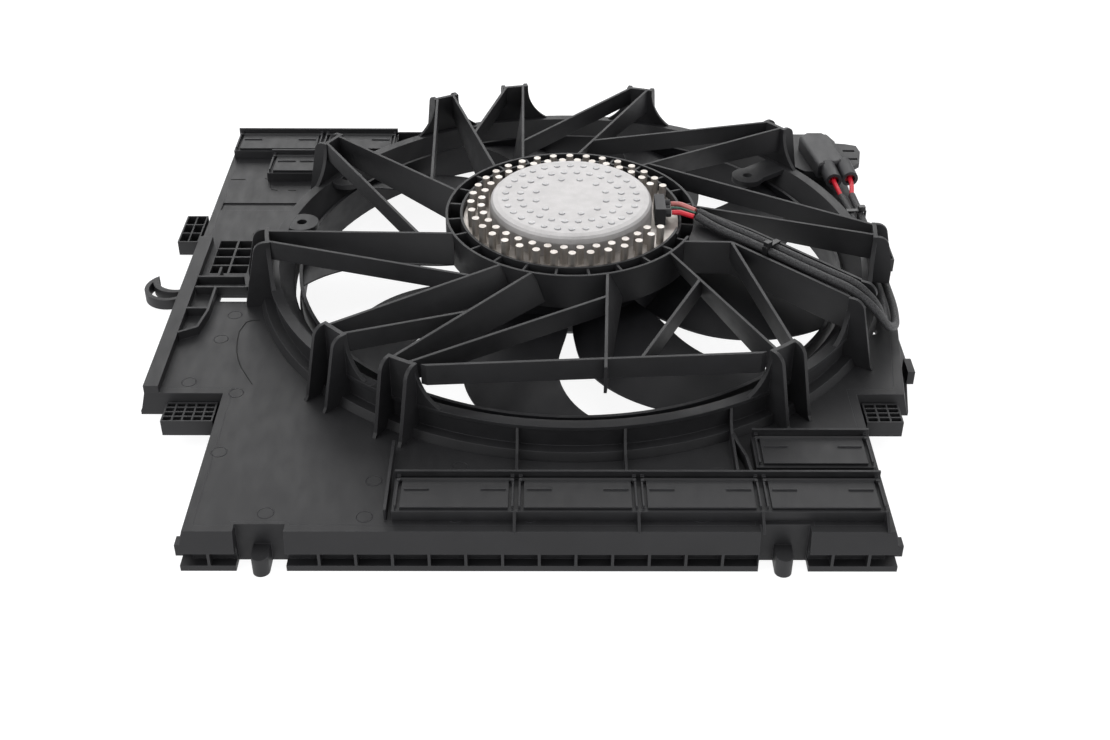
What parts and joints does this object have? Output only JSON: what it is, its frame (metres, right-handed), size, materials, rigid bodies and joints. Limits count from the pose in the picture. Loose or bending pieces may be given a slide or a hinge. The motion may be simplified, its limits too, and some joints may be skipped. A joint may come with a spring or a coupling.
{
  "type": "radiator cooling fan",
  "caption": "Moulded radiator fan shroud with a strut truss, a finned-base brushless motor, a banded rotor with swept blades, hinged ram-air flaps and a sleeved cable.",
  "frame": {"origin": "on the fan axis, in the plane of the rim's lower edge", "axes": "+Z along the fan axis towards the motor's cover, +X towards the side with the cable plug, +Y away from the side with the two locating pegs"},
  "size_m": [0.694, 0.6501, 0.1107],
  "materials": {
    "shroud_plastic": "moulded, finely grained",
    "rotor_plastic": "moulded, satin",
    "cast_aluminium": "die cast",
    "cover_aluminium": "pale satin",
    "board": "lacquered laminate",
    "can_aluminium": "drawn",
    "core_steel": "stacked sheet",
    "winding_copper": "enamelled wire",
    "steel": "machined",
    "connector_plastic": "moulded",
    "wire_red": "insulation",
    "wire_pink": "insulation",
    "wire_green": "insulation",
    "sleeve": "woven or corrugated sleeve",
    "tie_plastic": "moulded",
    "seal_rubber": "moulded",
    "magnet": "sintered"
  },
  "bodies": {
    "shroud": {"shroud_panel": "shroud_plastic", "shroud_rim": "shroud_plastic", "throat_ring": "shroud_plastic", "strut_towers": "shroud_plastic", "main_struts": "shroud_plastic", "brace_struts": "shroud_plastic", "cable_channel": "shroud_plastic", "motor_carrier": "shroud_plastic", "front_vent_frame": "shroud_plastic", "rear_vent_frame": "shroud_plastic", "wing_grid": "shroud_plastic", "edge_clips": "shroud_plastic", "hose_hook": "shroud_plastic", "fixing_tabs": "shroud_plastic", "heat_sink": "cast_aluminium", "electronics_cover": "cover_aluminium", "circuit_board": "board", "board_posts": "cast_aluminium", "capacitors": "can_aluminium", "stator_core": "core_steel", "stator_windings": "winding_copper", "lower_bearing": "steel", "upper_bearing": "steel", "motor_screws": "steel", "motor_connector": "connector_plastic", "wire_red": "wire_red", "wire_pink": "wire_pink", "wire_green": "wire_green", "wire_black": "sleeve", "cable_sleeve_inner": "sleeve", "cable_sleeve_outer": "sleeve", "cable_ties": "tie_plastic", "plug_bracket": "shroud_plastic", "plug_housing": "connector_plastic", "plug_tubes": "connector_plastic", "plug_seals": "seal_rubber", "plug_wires": "wire_red"},
    "rotor": {"fan_hub": "rotor_plastic", "fan_blades": "rotor_plastic", "fan_band": "rotor_plastic", "rotor_bell": "steel", "rotor_magnets": "magnet", "motor_shaft": "steel", "shaft_clip": "steel", "hub_nut": "steel", "hub_screws": "steel"},
    "front_flap_1": {"front_flap_1": "shroud_plastic"},
    "front_flap_2": {"front_flap_2": "shroud_plastic"},
    "front_flap_3": {"front_flap_3": "shroud_plastic"},
    "front_flap_4": {"front_flap_4": "shroud_plastic"},
    "front_flap_5": {"front_flap_5": "shroud_plastic"},
    "rear_flap_1": {"rear_flap_1": "shroud_plastic"},
    "rear_flap_2": {"rear_flap_2": "shroud_plastic"},
    "rear_flap_3": {"rear_flap_3": "shroud_plastic"}
  },
  "joints": [
    {"name": "fan_spin", "type": "hinge", "parent": "shroud", "child": "rotor", "pos_m": [0, 0, 0.05], "axis": [0, 0, 1], "continuous": true},
    {"name": "front_flap_1_hinge", "type": "hinge", "parent": "shroud", "child": "front_flap_1", "pos_m": [-0.087, -0.3084, 0.0449], "axis": [-1, 0, 0], "range_deg": [0, 80]},
    {"name": "front_flap_2_hinge", "type": "hinge", "parent": "shroud", "child": "front_flap_2", "pos_m": [0.0015, -0.3084, 0.0449], "axis": [-1, 0, 0], "range_deg": [0, 80]},
    {"name": "front_flap_3_hinge", "type": "hinge", "parent": "shroud", "child": "front_flap_3", "pos_m": [0.09, -0.3084, 0.0449], "axis": [-1, 0, 0], "range_deg": [0, 80]},
    {"name": "front_flap_4_hinge", "type": "hinge", "parent": "shroud", "child": "front_flap_4", "pos_m": [0.1785, -0.3084, 0.0449], "axis": [-1, 0, 0], "range_deg": [0, 80]},
    {"name": "front_flap_5_hinge", "type": "hinge", "parent": "shroud", "child": "front_flap_5", "pos_m": [0.1785, -0.2584, 0.0449], "axis": [-1, 0, 0], "range_deg": [0, 80]},
    {"name": "rear_flap_1_hinge", "type": "hinge", "parent": "shroud", "child": "rear_flap_1", "pos_m": [-0.2955, 0.2496, 0.0449], "axis": [-1, 0, 0], "range_deg": [0, 80]},
    {"name": "rear_flap_2_hinge", "type": "hinge", "parent": "shroud", "child": "rear_flap_2", "pos_m": [-0.2135, 0.2496, 0.0449], "axis": [-1, 0, 0], "range_deg": [0, 80]},
    {"name": "rear_flap_3_hinge", "type": "hinge", "parent": "shroud", "child": "rear_flap_3", "pos_m": [-0.271, 0.2016, 0.0449], "axis": [-1, 0, 0], "range_deg": [0, 80]}
  ]
}
